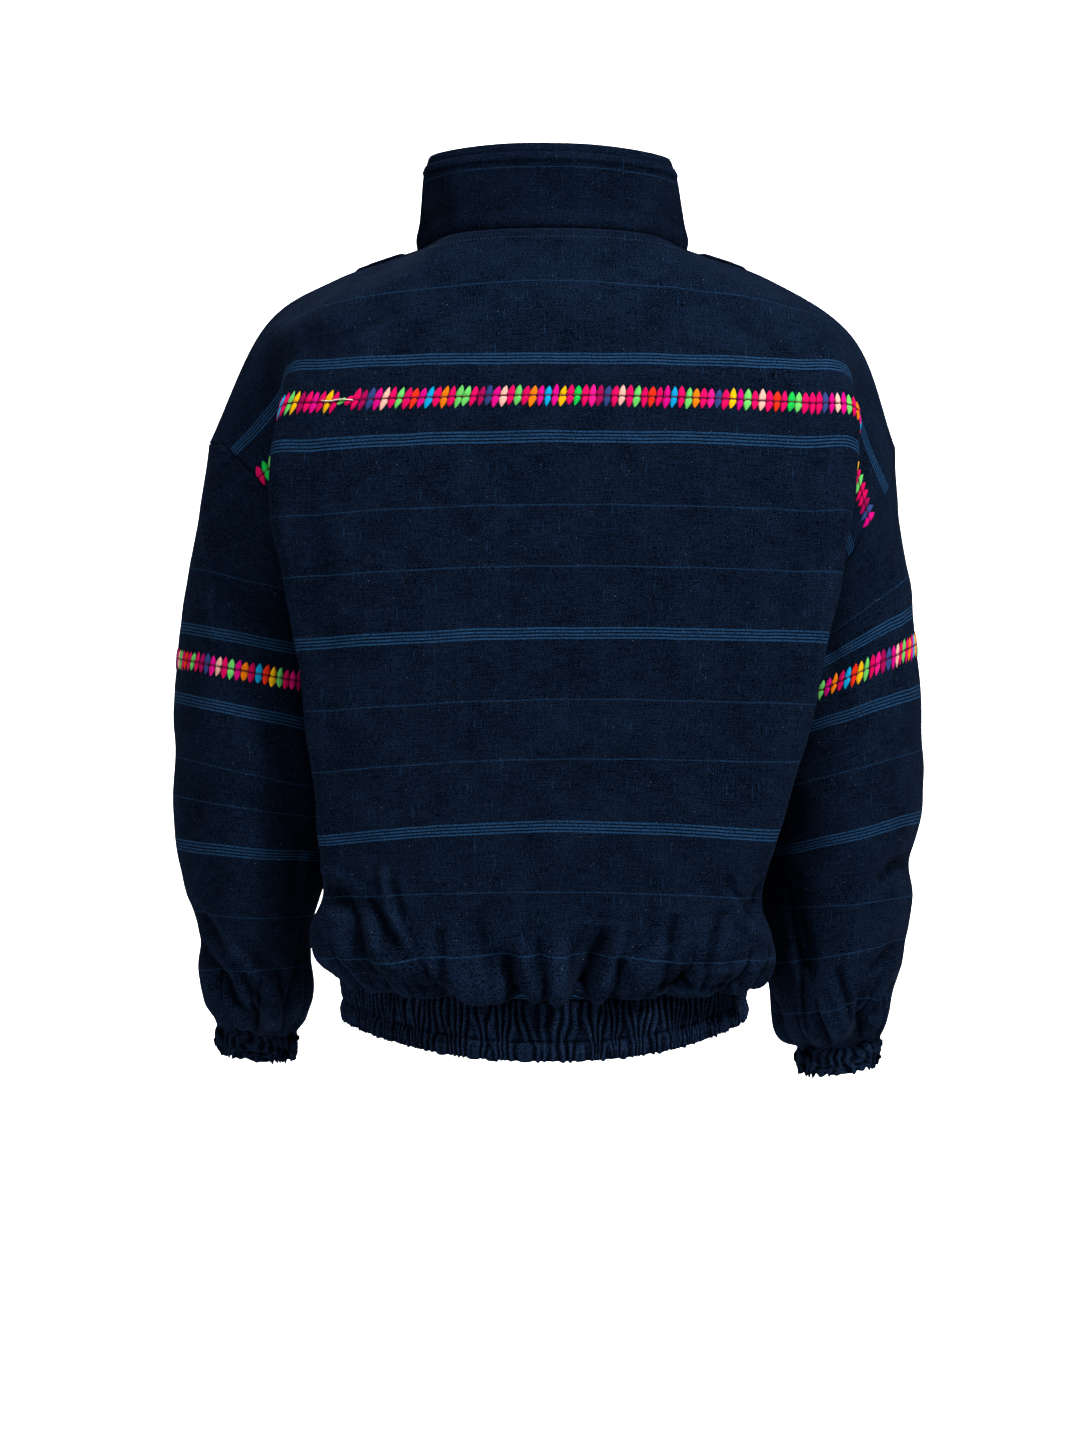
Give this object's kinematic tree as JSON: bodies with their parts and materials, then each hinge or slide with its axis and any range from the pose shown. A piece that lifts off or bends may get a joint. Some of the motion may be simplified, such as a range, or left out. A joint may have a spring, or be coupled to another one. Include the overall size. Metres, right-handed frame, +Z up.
{
  "type": "cotton blouson jacket",
  "caption": "Worn cotton blouson with a stand collar, dropped sleeves, embroidered joining seams, a zip front and gathered elastic hem and cuffs.",
  "frame": {"origin": "between the wearer's shoulders, on the middle plane, at the height of the collar seam behind, where the shoulders hold the jacket", "axes": "+Z up, +Y towards the back of the jacket, -Y towards the zip, +X towards the wearer's left"},
  "size_m": [0.6625, 0.3131, 0.8072],
  "materials": {
    "navy_cotton": "matt handwoven indigo cotton with pale blue weft lines",
    "navy_cotton_facing": "matt indigo cotton, the inner layer of the collar",
    "seam_thread": "many-coloured cotton embroidery thread",
    "zip_tape": "woven zip tape",
    "zip_metal": "antique brass"
  },
  "bodies": {
    "jacket": {"back_upper": "navy_cotton", "back_lower": "navy_cotton", "front_left": "navy_cotton", "front_right": "navy_cotton", "sleeve_upper_left": "navy_cotton", "sleeve_upper_right": "navy_cotton", "sleeve_lower_left": "navy_cotton", "sleeve_lower_right": "navy_cotton", "collar_outer": "navy_cotton", "collar_inner": "navy_cotton_facing", "waistband": "navy_cotton", "cuff_left": "navy_cotton", "cuff_right": "navy_cotton", "seam_band_back": "seam_thread", "seam_band_left": "seam_thread", "seam_band_right": "seam_thread", "zip_tape_left": "zip_tape", "zip_tape_right": "zip_tape", "zip_chain": "zip_metal", "zip_slider": "zip_metal"},
    "pull_tab": {"zip_pull": "zip_metal"}
  },
  "joints": [
    {"name": "pull_tab_hinge", "type": "hinge", "parent": "jacket", "child": "pull_tab", "pos_m": [0, -0.06442, 0.01276], "axis": [-1, 0, 0], "range_deg": [0, 170]}
  ]
}
